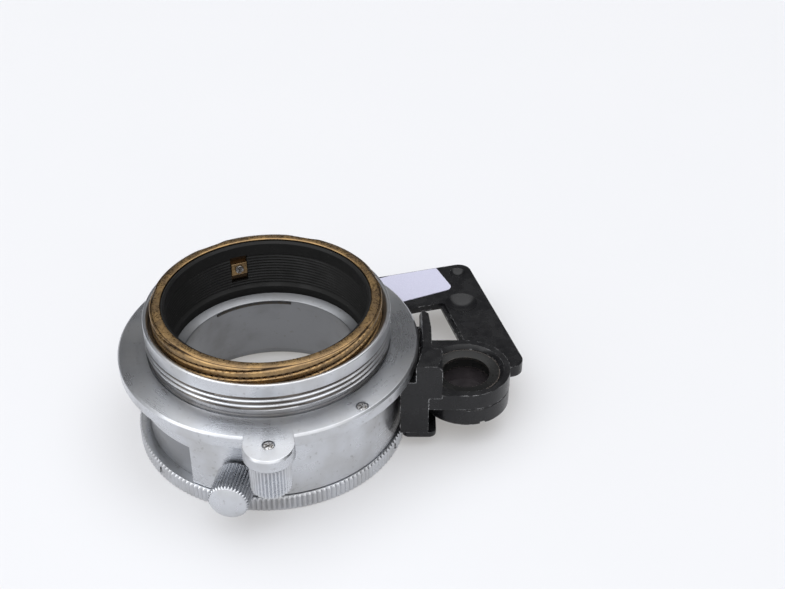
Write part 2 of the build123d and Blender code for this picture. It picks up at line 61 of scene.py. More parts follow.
def middle(node):
    low, high = span(node)
    return (low + high) / 2


def outer(node):
    """Radius, lowest and highest height of a CAD node that is round about the lens axis."""
    low, high = span(node)
    return high.x, low.z, high.z


def azimuth_of(point):
    return math.degrees(math.atan2(point.y, point.x)) % 360


THREAD_R, SKIRT_LOW, COLLAR_TOP = outer("helicoid_body")
FLANGE_R, FLANGE_LOW, _ = outer("mount_flange")
BARREL_R, BARREL_LOW, BARREL_TOP = outer("cam_barrel")
SLEEVE_R, SLEEVE_LOW, SLEEVE_TOP = outer("focus_sleeve")
RING_R, BASE_Z, RING_TOP = outer("knurled_ring")
CUP_R, SEAT_LOW, SEAT_TOP = outer("lens_seat")
BAFFLE_R, BAFFLE_LOW, BAFFLE_TOP = outer("baffle_tube")

BARREL_BORE_R = 16.5
SLEEVE_BORE_R = 20.25
SLEEVE_WINDOW = (165.0, 239.0)
SLEEVE_WINDOW_TOP = -6.8
SKIRT_R = 19.2
SKIRT_LIP_R = 19.25
CUP_BORE_R = 19.3
LIP_LOW = -3.4
NECK_R = 14.0
NECK_Z = -2.7
STEP_R = 15.5
MOUTH_R = 16.0
MOUTH_Z = -14.45
LENS_BORE_R = 17.5

CAMERA_PITCH = 25.4 / 26
HELICOID_LEAD = 9.6
HELICOID_STARTS = 7

LUG_AZ = azimuth_of(middle("fixed_grip"))
LUG_CENTRE_R = 25.25
LUG_END_R = 3.9
KEY_AZ = azimuth_of(middle("drive_key"))

SET_SCREW_AZ = (99.0, 219.8, 337.2)

CELL = middle("prism_ring")
CELL_LOW = -8.9
CELL_TOP = -6.0
CELL_R = 7.25
PLATE_TURN = 16.0
PLATE_X = (22.9, 41.8)
PLATE_Y = (-7.4, 24.0)
PLATE_TOP = -8.95
PLATE_T = 2.1
PLATE_SKIN_T = 1.0
PLATE_CORNER_R = 2.2
WINDOW_X = (24.8, 33.2)
WINDOW_Y = (1.6, 13.15)
WINDOW_LEDGE = 0.7
WINDOW_LEDGE_H = 0.45
POCKET_MARGIN = 1.1
DISHES = ((36.95, 12.3, 2.85, 0.95), (39.2, 21.4, 1.5, 0.6))
HUB_R = CELL_R - 0.05
PRISM_LOW = -11.3
KNOB_END_R = 28.45
KNOB_DOME_H = 0.75


# ---- mesh helpers -------------------------------------------------------------------------------
def at(azimuth, radius, height=0.0):
    """Place on the cylinder of that radius, with local X pointing outwards."""
    turn = Matrix.Rotation(math.radians(azimuth), 4, "Z")
    return turn @ Matrix.Translation((radius * MM, 0, height * MM))


def shifted(x, y, z=0.0):
    return Matrix.Translation((x * MM, y * MM, z * MM))


OUTWARDS = Matrix.Rotation(math.radians(90), 4, "Y")


def shade(mesh, sharp=38):
    mesh.shade_smooth()
    mesh.set_sharp_from_angle(angle=math.radians(sharp))


def make_object(name, points, faces, place=None):
    """Object from points in millimetres; place is its matrix, so its own axes stay simple."""
    mesh = bpy.data.meshes.new(name)
    mesh.from_pydata([(x * MM, y * MM, z * MM) for x, y, z in points], [], faces)
    work = bmesh.new()
    work.from_mesh(mesh)
    bmesh.ops.remove_doubles(work, verts=work.verts, dist=1e-8)
    bmesh.ops.dissolve_degenerate(work, edges=work.edges, dist=1e-8)
    bmesh.ops.recalc_face_normals(work, faces=work.faces)
    work.to_mesh(mesh)
    work.free()
    shade(mesh)
    made = bpy.data.objects.new(name, mesh)
    bpy.context.scene.collection.objects.link(made)
    if place is not None:
        made.matrix_world = place
    bpy.context.view_layer.update()
    return made


def soften(points, radius, steps=4):
    """Closed outline with its corners rounded; a third number in a point is its own radius."""
    count = len(points)
    out = []
    for i, point in enumerate(points):
        size = point[2] if len(point) > 2 else radius
        here = Vector(point[:2])
        before = Vector(points[i - 1][:2]) - here
        after = Vector(points[(i + 1) % count][:2]) - here
        size = min(size, 0.45 * before.length, 0.45 * after.length)
        if size < 1e-4 or here.x < 1e-4:
            out.append(tuple(here))
            continue
        start = here + before.normalized() * size
        end = here + after.normalized() * size
        for k in range(steps + 1):
            t = k / steps
            out.append(tuple((1 - t) ** 2 * start + 2 * t * (1 - t) * here + t * t * end))
    return out


def even_angles(count):
    return [TAU * i / count for i in range(count)]


def revolve(name, section, angles, place=None):
    """Ring of sections: section is a closed (radius, height) outline, or gives one for an angle."""
    rows = [section(a) if callable(section) else section for a in angles]
    size = len(rows[0])
    points = []
    for angle, row in zip(angles, rows):
        points += [(r * math.cos(angle), r * math.sin(angle), z) for r, z in row]
    faces = []
    for i in range(len(rows)):
        a = i * size
        b = (i + 1) % len(rows) * size
        for j in range(size):
            k = (j + 1) % size
            faces.append((a + j, b + j, b + k, a + k))
    return make_object(name, points, faces, place)


def drum(name, radius, low, high, place=None, sides=96, edge=0.0):
    outline = [(0, low), (radius, low), (radius, high), (0, high)]
    return revolve(name, soften(outline, edge), even_angles(sides), place)


def prism(name, outline, low, high, place=None):
    """Upright solid on a flat outline of (x, y) points."""
    size = len(outline)
    points = [(x, y, low) for x, y in outline] + [(x, y, high) for x, y in outline]
    faces = [tuple(range(size - 1, -1, -1)), tuple(range(size, 2 * size))]
    faces += [(i, (i + 1) % size, size + (i + 1) % size, size + i) for i in range(size)]
    return make_object(name, points, faces, place)


def block(name, x, y, z, place=None):
    outline = [(x[0], y[0]), (x[1], y[0]), (x[1], y[1]), (x[0], y[1])]
    return prism(name, outline, z[0], z[1], place)


def rounded_block(name, x, y, corner_r, z, place=None):
    """Plate with rounded upright corners."""
    outline = []
    for cx, cy, start in ((x[1], y[0], -90), (x[1], y[1], 0), (x[0], y[1], 90), (x[0], y[0], 180)):
        inward_x = corner_r if cx == x[0] else -corner_r
        inward_y = corner_r if cy == y[0] else -corner_r
        for k in range(9):
            angle = math.radians(start + k * 90 / 8)
            x_here = cx + inward_x + corner_r * math.cos(angle)
            y_here = cy + inward_y + corner_r * math.sin(angle)
            outline.append((x_here, y_here))
    return prism(name, outline, z[0], z[1], place)


def apply_modifiers(obj):
    graph = bpy.context.evaluated_depsgraph_get()
    mesh = bpy.data.meshes.new_from_object(obj.evaluated_get(graph))
    obj.modifiers.clear()
    obj.data = mesh
    shade(mesh)


def combine(obj, operation, others):
    """Unites obj with, or cuts from it, other solids, which are used up."""
    for other in others:
        modifier = obj.modifiers.new("combine", "BOOLEAN")
        modifier.operation = operation
        modifier.solver = "EXACT"
        modifier.object = other
        apply_modifiers(obj)
        bpy.data.objects.remove(other)
    return obj


def cut(obj, *others):
    return combine(obj, "DIFFERENCE", others)


def unite(obj, *others):
    return combine(obj, "UNION", others)


def round_edges(obj, width, segments=3, angle=40):
    """Small rounding on every sharp edge, after flat faces are cleaned up."""
    work = bmesh.new()
    work.from_mesh(obj.data)
    bmesh.ops.remove_doubles(work, verts=work.verts, dist=1e-7)
    bmesh.ops.dissolve_limit(work, angle_limit=math.radians(0.6), verts=work.verts, edges=work.edges)
    work.to_mesh(obj.data)
    work.free()
    modifier = obj.modifiers.new("edges", "BEVEL")
    modifier.width = width * MM
    modifier.segments = segments
    modifier.limit_method = "ANGLE"
    modifier.angle_limit = math.radians(angle)
    modifier.use_clamp_overlap = True
    apply_modifiers(obj)
    flat_faces = obj.modifiers.new("flat_faces", "WEIGHTED_NORMAL")
    flat_faces.keep_sharp = True
    return obj


def settle(obj):
    """Moves a turned piece's placement into its mesh, so its own axes are the frame's."""
    obj.data.transform(obj.matrix_world)
    obj.matrix_world = Matrix.Identity(4)
    bpy.context.view_layer.update()


def smoothstep(low, high, value):
    t = min(max((value - low) / (high - low), 0.0), 1.0)
    return t * t * (3 - 2 * t)


# ---- material helpers ---------------------------------------------------------------------------
class Recipe:
    """A node material under construction; add() makes a node and fills or links its inputs."""

    def __init__(self, name):
        self.material = bpy.data.materials.new(name)
        self.material.use_nodes = True
        self.tree = self.material.node_tree
        self.shader = self.tree.nodes["Principled BSDF"]

    def set(self, node, **inputs):
        for key, value in inputs.items():
            socket = node.inputs[key.replace("_", " ")]
            if isinstance(value, bpy.types.NodeSocket):
                self.tree.links.new(value, socket)
            else:
                socket.default_value = value

    def add(self, kind, settings=None, **inputs):
        made = self.tree.nodes.new("ShaderNode" + kind)
        for key, value in (settings or {}).items():
            setattr(made, key, value)
        self.set(made, **inputs)
        return made

    def math(self, operation, a, b=0.0, c=0.0):
        made = self.tree.nodes.new("ShaderNodeMath")
        made.operation = operation
        for socket, value in zip(made.inputs, (a, b, c)):
            if isinstance(value, bpy.types.NodeSocket):
                self.tree.links.new(value, socket)
            else:
                socket.default_value = value
        return made.outputs[0]

    def position(self):
        return self.add("TexCoord").outputs["Object"]

    def noise(self, feature_mm, detail=2.0, vector=None, roughness=0.55):
        """Noise whose features are about that large."""
        made = self.add("TexNoise", Scale=1 / (feature_mm * MM), Detail=detail, Roughness=roughness)
        self.tree.links.new(vector or self.position(), made.inputs["Vector"])
        return made.outputs["Fac"]

    def ramp(self, value, low, high, from_value=0.0, to_value=1.0):
        made = self.add("MapRange", {"clamp": True, "interpolation_type": "SMOOTHSTEP"})
        self.set(made, Value=value, From_Min=low, From_Max=high, To_Min=from_value, To_Max=to_value)
        return made.outputs["Result"]

    def mix(self, factor, a, b):
        made = self.add("Mix", {"data_type": "RGBA"})
        for index, value in ((0, factor), (6, a), (7, b)):
            if isinstance(value, bpy.types.NodeSocket):
                self.tree.links.new(value, made.inputs[index])
            else:
                made.inputs[index].default_value = value
        return made.outputs[2]

    def radius_and_height(self):
        """Distance from the object's own Z axis and height along it, in metres."""
        parts = self.add("SeparateXYZ", Vector=self.position())
        squares = self.math("MULTIPLY", parts.outputs["X"], parts.outputs["X"])
        squares = self.math("MULTIPLY_ADD", parts.outputs["Y"], parts.outputs["Y"], squares)
        return self.math("SQRT", squares), parts.outputs["Z"]

    def turned_grain(self, feature_mm):
        """Fine rings left by a lathe: noise that depends on radius and height alone."""
        radius, height = self.radius_and_height()
        vector = self.add("CombineXYZ", X=radius, Y=height, Z=0.0).outputs[0]
        return self.noise(feature_mm, 3.0, vector)

    def edge_mask(self, radius_mm):
        """One on convex and concave edges narrower than the radius, zero on flat faces."""
        rounded = self.add("Bevel", {"samples": 6}, Radius=radius_mm * MM).outputs[0]
        flat = self.add("NewGeometry").outputs["Normal"]
        dot = self.add("VectorMath", {"operation": "DOT_PRODUCT"})
        self.tree.links.new(rounded, dot.inputs[0])
        self.tree.links.new(flat, dot.inputs[1])
        return self.ramp(dot.outputs["Value"], 0.96, 0.80)

    def bump(self, height, distance_mm, strength=1.0, normal=None):
        made = self.add("Bump", Height=height, Strength=strength, Distance=distance_mm * MM)
        if normal is not None:
            self.tree.links.new(normal, made.inputs["Normal"])
        return made.outputs["Normal"]

    def finish(self, **inputs):
        self.set(self.shader, **inputs)
        return self.material


def rgba(red, green, blue):
    return (red, green, blue, 1.0)


# ---- materials ----------------------------------------------------------------------------------
def satin_chrome(name, tone, roughness, stain=0.35, anisotropy=0.7, grime_r=None):
    """Turned metal under satin chrome: fine rings, smears, dull spots, and grime in a thread."""
    recipe = Recipe(name)
    smear = recipe.noise(9.0, 4.0)
    spots = recipe.ramp(recipe.noise(0.9, 3.0), 0.60, 0.74)
    grain = recipe.turned_grain(0.45)
    bright = rgba(tone * 0.975, tone, tone * 1.05)
    dull = rgba(tone * 0.84, tone * 0.85, tone * 0.87)
    base = recipe.mix(recipe.ramp(smear, 0.42, 0.66, 0.0, 1.0), bright, dull)
    base = recipe.mix(recipe.math("MULTIPLY", spots, stain), base, rgba(0.20, 0.19, 0.175))
    if grime_r is not None:
        radius, height = recipe.radius_and_height()
        grime = recipe.ramp(radius, (grime_r - 0.12) * MM, (grime_r - 0.38) * MM)
        grime = recipe.math("MULTIPLY", grime, recipe.ramp(height, 4.5 * MM, 4.1 * MM))
        grime = recipe.math("MULTIPLY", grime, recipe.ramp(height, 0.9 * MM, 1.3 * MM, 0.45, 0.85))
        base = recipe.mix(grime, base, rgba(0.10, 0.078, 0.056))
    rough = recipe.ramp(smear, 0.35, 0.7, roughness - 0.04, roughness + 0.07)
    rough = recipe.math("ADD", rough, recipe.ramp(grain, 0.3, 0.7, -0.02, 0.02))
    normal = recipe.bump(grain, 0.003, 0.2)
    tangent = recipe.add("Tangent", {"direction_type": "RADIAL", "axis": "Z"}).outputs[0]
    return recipe.finish(
        Base_Color=base, Metallic=1.0, Roughness=rough, Normal=normal, Tangent=tangent,
        Anisotropic=anisotropy, Anisotropic_Rotation=0.25)


def patinated_brass(name, crest_r=None):
    """Old brass, brown in its grooves and rubbed yellow on its crests."""
    recipe = Recipe(name)
    cloud = recipe.noise(2.6, 4.0)
    speck = recipe.noise(0.35, 2.0)
    grain = recipe.turned_grain(0.2)
    clean = rgba(0.39, 0.255, 0.12)
    aged = rgba(0.26, 0.175, 0.095)
    dirt = rgba(0.055, 0.036, 0.022)
    base = recipe.mix(recipe.ramp(cloud, 0.38, 0.62), clean, aged)
    if crest_r is not None:
        radius, height = recipe.radius_and_height()
        depth = recipe.ramp(radius, (crest_r - 0.42) * MM, (crest_r - 0.08) * MM)
        rim = recipe.ramp(height, (BARREL_TOP - 0.16) * MM, (BARREL_TOP - 0.08) * MM)
        depth = recipe.math("MAXIMUM", depth, rim)
        depth = recipe.math("MULTIPLY_ADD", recipe.math("SUBTRACT", speck, 0.5), 0.2, depth)
        base = recipe.mix(recipe.ramp(depth, 0.15, 0.85), dirt, base)
    rough = recipe.ramp(speck, 0.3, 0.7, 0.24, 0.42)
    normal = recipe.bump(grain, 0.006, 0.6)
    return recipe.finish(Base_Color=base, Metallic=1.0, Roughness=rough, Normal=normal)


def black_paint(name, wear=1.0, roughness=0.24):
    """Semi-gloss black paint, rubbed through to bright metal on its edges."""
    recipe = Recipe(name)
    orange_peel = recipe.noise(1.6, 2.0)
    chips = recipe.noise(0.7, 4.0, roughness=0.7)
    places = recipe.noise(5.0, 2.0)
    edge = recipe.edge_mask(0.22)
    worn = recipe.math("MULTIPLY", edge, recipe.ramp(chips, 0.46, 0.56))
    worn = recipe.math("MULTIPLY", worn, recipe.ramp(places, 0.40, 0.52, 0.0, wear))
    dust = recipe.ramp(recipe.noise(0.28, 1.0), 0.75, 0.82, 0.0, 0.15)
    base = recipe.mix(recipe.ramp(places, 0.35, 0.65), rgba(0.007, 0.007, 0.008), rgba(0.011, 0.011, 0.012))
    base = recipe.mix(dust, base, rgba(0.16, 0.16, 0.165))
    base = recipe.mix(worn, base, rgba(0.55, 0.55, 0.56))
    rough = recipe.ramp(orange_peel, 0.3, 0.7, roughness - 0.05, roughness + 0.07)
    normal = recipe.bump(orange_peel, 0.002, 0.12)
    return recipe.finish(
        Base_Color=base, Metallic=worn, Roughness=rough, Normal=normal, Specular_IOR_Level=0.3)


def matt_black(name, tone=0.006, roughness=0.55, rubbed=0.0):
    """Blackened inner surface with a little dust, and edges rubbed to brown metal."""
    recipe = Recipe(name)
    cloud = recipe.noise(3.0, 4.0)
    dust = recipe.ramp(recipe.noise(0.25, 1.0), 0.72, 0.80, 0.0, 0.30)
    base = recipe.mix(cloud, rgba(tone, tone, tone), rgba(tone * 1.9, tone * 1.9, tone * 1.85))
    base = recipe.mix(dust, base, rgba(0.20, 0.19, 0.18))
    rough = recipe.ramp(cloud, 0.3, 0.7, roughness - 0.08, roughness + 0.08)
    if rubbed > 0:
        worn = recipe.math("MULTIPLY", recipe.edge_mask(0.2), rubbed)
        base = recipe.mix(worn, base, rgba(0.46, 0.38, 0.33))
    return recipe.finish(
        Base_Color=base, Roughness=rough, Normal=recipe.bump(cloud, 0.01, 0.3), Specular_IOR_Level=0.22)


def screw_steel(name, tone=0.42):
    recipe = Recipe(name)
    cloud = recipe.noise(0.35, 3.0)
    base = recipe.mix(recipe.ramp(cloud, 0.4, 0.62), rgba(tone, tone, tone * 1.01), rgba(0.10, 0.085, 0.07))
    rough = recipe.ramp(cloud, 0.3, 0.7, 0.28, 0.5)
    return recipe.finish(Base_Color=base, Metallic=1.0, Roughness=rough, Normal=recipe.bump(cloud, 0.01, 0.5))


def optical_glass(name):
    recipe = Recipe(name)
    haze = recipe.noise(1.4, 4.0)
    base = recipe.mix(haze, rgba(0.012, 0.011, 0.012), rgba(0.032, 0.029, 0.030))
    rough = recipe.ramp(haze, 0.35, 0.7, 0.04, 0.16)
    return recipe.finish(
        Base_Color=base, Roughness=rough, Coat_Weight=0.5, Coat_Roughness=0.03,
        Coat_Tint=rgba(0.96, 0.88, 0.93),
        Specular_IOR_Level=0.3)


def label_paper(name):
    recipe = Recipe(name)
    fibre = recipe.noise(0.22, 3.0)
    base = recipe.mix(recipe.ramp(fibre, 0.3, 0.7), rgba(0.48, 0.48, 0.60), rgba(0.53, 0.53, 0.65))
    return recipe.finish(Base_Color=base, Roughness=0.62, Normal=recipe.bump(fibre, 0.012, 0.5))


CHROME = satin_chrome("satin_chrome", 0.59, 0.30)
CHROME_THREAD = satin_chrome("satin_chrome_thread", 0.60, 0.30, stain=0.3, anisotropy=0.4, grime_r=THREAD_R)
CHROME_FINE = satin_chrome("satin_chrome_inner", 0.27, 0.34, stain=0.5, anisotropy=0.4)
CHROME_KNURL = satin_chrome("satin_chrome_knurl", 0.60, 0.30, stain=0.3, anisotropy=0.0)
BRASS = patinated_brass("patinated_brass", BARREL_R)
BRASS_PLAIN = patinated_brass("brass_small_parts")
BLACK = black_paint("black_paint")
BLACK_INNER = matt_black("matt_black")
BLACK_RING = matt_black("browned_ring", 0.009, 0.27, rubbed=0.9)
STEEL = screw_steel("screw_steel")
STEEL_BRIGHT = screw_steel("flange_screw_steel", 0.66)
SPRING = screw_steel("browned_spring", 0.085)
STEEL_BLACK = screw_steel("blackened_screw", 0.05)
GLASS = optical_glass("wedge_glass")
PAPER = label_paper("label_paper")


def dress(piece, body, material, slot, *nodes, centred=False):
    """Gives a piece its body and material, and hides the CAD nodes that it stands for; the slot argument is
    not used.
    """
    piece.data.materials.clear()
    piece.data.materials.append(material)
    if centred:
        piece.data.use_auto_texspace = False
        piece.data.texspace_location = (0, 0, 0)
        piece.data.texspace_size = (FLANGE_R * MM,) * 3
    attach(piece, body)
    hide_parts(*nodes)
    return piece


# ---- threads and knurls -------------------------------------------------------------------------
def groove(distance, pitch, width, depth):
    """Depth of a rounded V groove, repeated every pitch, at a distance along the axis."""
    offset = abs((distance / pitch + 0.5) % 1.0 - 0.5) * pitch
    return depth * (1 - smoothstep(0.12 * width, 0.5 * width, offset))


def knurl(angle, teeth, depth):
    """Depth of the valley between straight teeth, at an angle."""
    phase = angle * teeth / TAU % 1.0
    return depth * (0.5 + 0.5 * math.cos(TAU * phase)) ** 1.6


# ---- fixed mount --------------------------------------------------------------------------------
def make_collar():
    """Threaded collar with its undercut, and the plain skirt below the flange."""
    undercut_top = 1.15
    thread_top = 4.15
    phase_z = 1.65
    heights = [0.02, 0.1, 0.16] + [undercut_top + 0.08 * i for i in range(38)]
    top = COLLAR_TOP
    bore = BARREL_R + 0.05
    lip = soften([
        (THREAD_R, thread_top + 0.1, 0.01), (THREAD_R, top, 0.28), (THREAD_R - 0.62, top, 0.2),
        (bore, top - 0.85, 0.12), (bore, SKIRT_LOW), (SKIRT_R, SKIRT_LOW), (SKIRT_R, 0)], 0.05)

    def section(angle):
        rise = CAMERA_PITCH * (angle - math.radians(270)) / TAU
        outline = []
        for z in heights:
            if z < undercut_top:
                outline.append((THREAD_R - 0.5, z))
                continue
            fade = smoothstep(thread_top, thread_top - 0.35, z)
            start = smoothstep(undercut_top, undercut_top + 0.25, z)
            cut_in = 0.5 * (1 - start)
            depth = max(cut_in, fade * groove(z - phase_z - rise, CAMERA_PITCH, 0.90, 0.50))
            outline.append((THREAD_R - depth, z))
        return outline + lip

    piece = revolve("threaded_collar", section, even_angles(480))
    return dress(piece, "mount", CHROME_THREAD, "satin_chrome", "helicoid_body", centred=True)


def lug_reach(offset):
    """Distance from the lens axis to the edge of flange or lug, at an angle from the lug's middle."""
    across = LUG_CENTRE_R * math.sin(offset)
    if abs(across) >= LUG_END_R or math.cos(offset) < 0:
        return FLANGE_R
    return max(FLANGE_R, LUG_CENTRE_R * math.cos(offset) + math.sqrt(LUG_END_R ** 2 - across ** 2))


def screw_recess(azimuth, radius, depth):
    return drum("recess", 1.0, -depth, 1.0, at(azimuth, radius), sides=48)


def make_flange():
    """Flange and lug in one outline, with a narrow bright chamfer."""
    chamfer = 0.32
    lug = math.radians(LUG_AZ)
    fine = [lug + math.radians(0.12 * i) for i in range(-90, 91)]
    coarse = [lug + math.radians(10.9 + 1.0 * i) for i in range(0, 339)]

    def section(angle):
        reach = lug_reach((angle - lug + math.pi) % TAU - math.pi)
        outline = [(SKIRT_R, FLANGE_LOW), (reach, FLANGE_LOW, 0.12), (reach, -chamfer, 0.06),
                   (reach - chamfer, 0, 0.06), (THREAD_R, 0), (SKIRT_R, -0.35)]
        return soften(outline, 0.0)

    piece = revolve("flange_with_lug", section, fine + coarse)
    screws = [middle("grip_screw"), middle("flange_screw")]
    for centre in screws:
        cut(piece, screw_recess(azimuth_of(centre), centre.xy.length, 0.62))
    return dress(piece, "mount", CHROME, "satin_chrome", "mount_flange", centred=True)


def make_grip():
    """Fixed finger grip: straight knurl between two plain ends."""
    low, high = span("fixed_grip")
    radius = (high.x - low.x) / 2
    centre = (low + high) / 2
    teeth = 34

    def section(angle):
        valley = radius - knurl(angle, teeth, 0.30)
        return soften([(0, low.z), (radius - 0.45, low.z, 0.1), (valley, low.z + 0.35, 0.08),
                       (valley, high.z - 0.75, 0.05), (radius - 0.22, high.z - 0.6, 0.05),
                       (radius - 0.22, high.z), (0, high.z)], 0.05)

    piece = revolve("grip_pin", section, even_angles(teeth * 10), shifted(centre.x, centre.y))
    return dress(piece, "mount", CHROME_KNURL, "satin_chrome", "fixed_grip")


def slotted_head(name, radius, height, place, slot_turn):
    """Screw head with a rounded rim and a slot, its top at local height zero."""
    head = drum(name, radius, -height, 0, place, sides=64, edge=0.12)
    slot_place = place @ Matrix.Rotation(math.radians(slot_turn), 4, "Z")
    slot = block("slot", (-2, 2), (-0.13, 0.13), (-0.28, 1), slot_place)
    return cut(head, slot)


def make_flange_screws():
    for node, turn in (("grip_screw", 38), ("flange_screw", 62)):
        low, high = span(node)
        centre = (low + high) / 2
        radius = (high.x - low.x) / 2
        place = shifted(centre.x, centre.y, high.z)
        piece = slotted_head(node + "_head", radius, 0.55, place, turn)
        dress(piece, "mount", STEEL_BRIGHT, "screw_steel", node)


# ---- turning sleeve and knob --------------------------------------------------------------------
def make_sleeve():
    """Plain turned sleeve with a window cut from its lower edge on one side."""
    start, end = (math.radians(a) for a in SLEEVE_WINDOW)
    step = math.radians(1.0)
    count = int((end - start) / step)
    inside = [start + (end - start) * i / count for i in range(count + 1)]
    rest = int((TAU - (end - start)) / step)
    outside = [end + 1e-5 + (TAU - (end - start) - 2e-5) * i / rest for i in range(rest + 1)]

    def outline(low):
        return soften([
            (SLEEVE_BORE_R, low, 0.05), (SLEEVE_R, low, 0.1), (SLEEVE_R, SLEEVE_TOP, 0.2),
            (SKIRT_LIP_R, SLEEVE_TOP), (SKIRT_LIP_R, LIP_LOW), (SLEEVE_BORE_R, LIP_LOW)], 0.05)

    window_outline = outline(SLEEVE_WINDOW_TOP)
    full_outline = outline(SLEEVE_LOW)

    def section(angle):
        return window_outline if start <= angle <= end else full_outline

    piece = revolve("turning_sleeve", section, inside + outside)
    return dress(piece, "focus_ring", CHROME, "satin_chrome", "focus_sleeve", centred=True)

def make_knob():
    """Focus knob: knurled barrel, plain neck and a shallow domed end."""
    low, high = span("focus_knob")
    centre = (low + high) / 2
    radius = (high.z - low.z) / 2
    length = KNOB_END_R - SLEEVE_R
    foot = radius - 0.32
    sphere_r = (foot ** 2 + KNOB_DOME_H ** 2) / (2 * KNOB_DOME_H)
    dome = [(foot * (1 - t), length - sphere_r + math.sqrt(sphere_r ** 2 - (foot * (1 - t)) ** 2) - 0.01)
            for t in (0.08, 0.2, 0.35, 0.5, 0.65, 0.8, 0.9, 1.0)]
    teeth = 36

    def section(angle):
        valley = radius - knurl(angle, teeth, 0.30)
        return soften([(0, 0.05), (1.8, 0.05, 0.05), (1.8, 0.45, 0.02), (radius - 0.3, 0.45, 0.1),
                       (valley, 0.75, 0.08), (valley, length - KNOB_DOME_H - 0.32, 0.08),
                       (radius - 0.31, length - KNOB_DOME_H - 0.02, 0.05), *dome], 0.02)

    place = at(azimuth_of(centre), SLEEVE_R, centre.z) @ OUTWARDS
    piece = revolve("knob", section, even_angles(teeth * 10), place)
    return dress(piece, "focus_ring", CHROME_KNURL, "satin_chrome", "focus_knob")


# ---- sliding lens seat --------------------------------------------------------------------------
def make_seat():
    """Turned lens seat: bright step, flared inner wall, floor and outer wall."""
    outline = soften([
        (STEP_R, SEAT_TOP, 0.03), (NECK_R, NECK_Z, 0.12), (NECK_R + 0.15, NECK_Z - 0.9, 0.2),
        (MOUTH_R, MOUTH_Z, 0.1), (LENS_BORE_R, MOUTH_Z, 0.05), (LENS_BORE_R, SEAT_LOW, 0.25),
        (CUP_R, SEAT_LOW, 0.02), (CUP_R, -4.4, 0.2), (CUP_BORE_R, -4.4, 0.05), (CUP_BORE_R, -13.1, 0.1),
        (17.9, -13.1, 0.1), (17.9, BARREL_LOW - 0.7, 0.1), (BAFFLE_R, BARREL_LOW - 0.7, 0.05),
        (BAFFLE_R, SEAT_TOP, 0.02)], 0.05)
    piece = revolve("turned_seat", outline, even_angles(360))
    return dress(piece, "lens_carrier", CHROME_FINE, "satin_chrome", "lens_seat", centred=True)


def make_baffle():
    """Black tube with fine baffle rings and the slot for the drive key."""
    bore = 15.9
    first, last, pitch = -0.25, 6.35, 0.55
    rings = []
    count = int((last - first) / pitch)
    for i in range(count):
        z = first + i * pitch
        rings += [(bore + 0.24, z + 0.12), (bore, z + 0.36), (bore, z + 0.42)]
    outline = [(STEP_R, BAFFLE_LOW), (STEP_R, first - 0.45), (bore, first - 0.15)] + rings + [
        (bore, last), (bore, BAFFLE_TOP - 0.3), (BAFFLE_R - 0.2, BAFFLE_TOP), (BAFFLE_R, BAFFLE_TOP),
        (BAFFLE_R, BAFFLE_LOW)]
    piece = revolve("ribbed_baffle", outline, even_angles(288))
    slot = block("slot", (14.0, 18.0), (-1.45, 1.45), (0.8, 5.8), at(KEY_AZ, 0))
    cut(piece, slot)
    return dress(piece, "lens_carrier", BLACK_INNER, "black_anodised", "baffle_tube")


def make_ring():
    """Front ring with a straight knurl and three recesses for its set screws."""
    teeth = 170
    bore = CUP_R

    def section(angle):
        valley = RING_R - knurl(angle, teeth, 0.26)
        rim = RING_R - 0.34
        return soften([(bore, BASE_Z), (rim, BASE_Z, 0.05), (valley, BASE_Z + 0.3, 0.05),
                       (valley, RING_TOP - 0.3, 0.05), (rim, RING_TOP, 0.05), (bore, RING_TOP)],
                      0.03, steps=2)

    piece = revolve("front_ring", section, even_angles(teeth * 8))
    for azimuth in SET_SCREW_AZ:
        place = at(azimuth, RING_R - 0.9, (BASE_Z + RING_TOP) / 2) @ OUTWARDS
        cut(piece, drum("recess", 0.62, 0, 3, place, sides=40))
    return dress(piece, "lens_carrier", CHROME_KNURL, "satin_chrome", "knurled_ring")


def make_set_screws():
    """The three small slotted screws in the front ring, as one piece like their CAD node."""
    screws = []
    for i, azimuth in enumerate(SET_SCREW_AZ):
        place = at(azimuth, RING_R - 0.35, (BASE_Z + RING_TOP) / 2) @ OUTWARDS
        screws.append(slotted_head("set_screw", 0.52, 0.5, place, 25 + 70 * i))
    points, faces = [], []
    for screw in screws:
        base = len(points)
        points += [tuple(screw.matrix_world @ v.co / MM) for v in screw.data.vertices]
        faces += [tuple(base + k for k in f.vertices) for f in screw.data.polygons]
        bpy.data.objects.remove(screw)
    piece = make_object("ring_screws", points, faces)
    return dress(piece, "lens_carrier", STEEL, "screw_steel", "ring_set_screws")


# ---- brass barrel -------------------------------------------------------------------------------
def make_barrel():
    """Cam barrel with its multi-start thread, which runs out through the flat rim."""
    pitch = HELICOID_LEAD / HELICOID_STARTS
    phase_z = 6.45
    rim = BARREL_TOP - 0.02
    rows = int((rim - BARREL_LOW - 0.3) / 0.09)
    heights = [BARREL_LOW + 0.15 + (rim - BARREL_LOW - 0.3) * i / rows for i in range(rows + 1)]
    inner = soften([(BARREL_R - 0.62, BARREL_TOP, 0.08), (BARREL_BORE_R, BARREL_TOP, 0.18),
                    (BARREL_BORE_R, BARREL_LOW, 0.1), (BARREL_R - 0.5, BARREL_LOW, 0.1)], 0.1)

    def section(angle):
        rise = HELICOID_LEAD * (angle - math.radians(270)) / TAU
        outline = []
        for z in heights:
            depth = groove(z - phase_z - rise, pitch, 0.66, 0.40)
            edge = 0.25 * smoothstep(BARREL_TOP - 0.35, BARREL_TOP, z)
            outline.append((BARREL_R - max(depth, edge), z))
        return outline + inner

    piece = revolve("threaded_barrel", section, even_angles(420))
    return dress(piece, "cam_barrel", BRASS, "brass", "cam_barrel")


